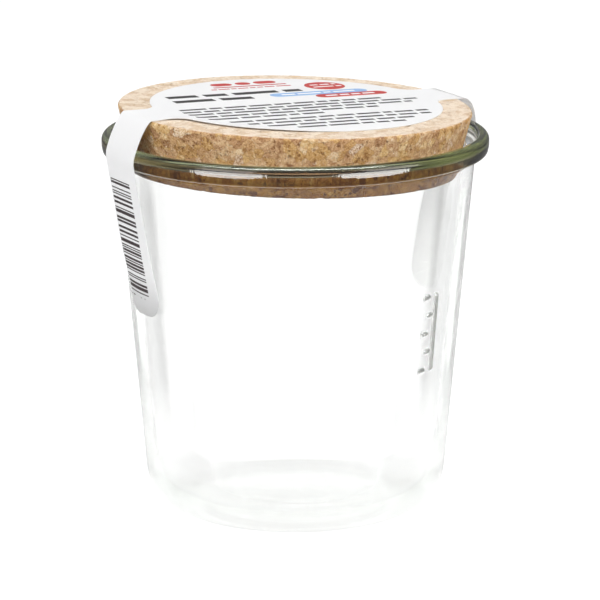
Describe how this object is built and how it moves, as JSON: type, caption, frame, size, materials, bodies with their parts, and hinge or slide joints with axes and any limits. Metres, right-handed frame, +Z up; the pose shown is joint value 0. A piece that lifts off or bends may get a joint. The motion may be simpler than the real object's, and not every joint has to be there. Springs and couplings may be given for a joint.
{
  "type": "preserving jar",
  "caption": "Tapered clear glass preserving jar with a thick rim, closed by a tapered cork lid under a paper seal with two side tabs.",
  "frame": {"origin": "centre of the base, on the surface the jar stands on", "axes": "+Z up along the jar's axis; -Y is the front, where the seal's lower tab shows on the left; +X to the right"},
  "size_m": [0.108, 0.108, 0.1157],
  "materials": {
    "glass": "clear soda-lime glass, fire-polished, faint green in the thick rim",
    "cork": "matt pressed cork granules",
    "paper": "matt white printed label paper"
  },
  "bodies": {
    "root": {"glass_jar": "glass", "cork_lid": "cork", "paper_seal": "paper"}
  },
  "joints": []
}
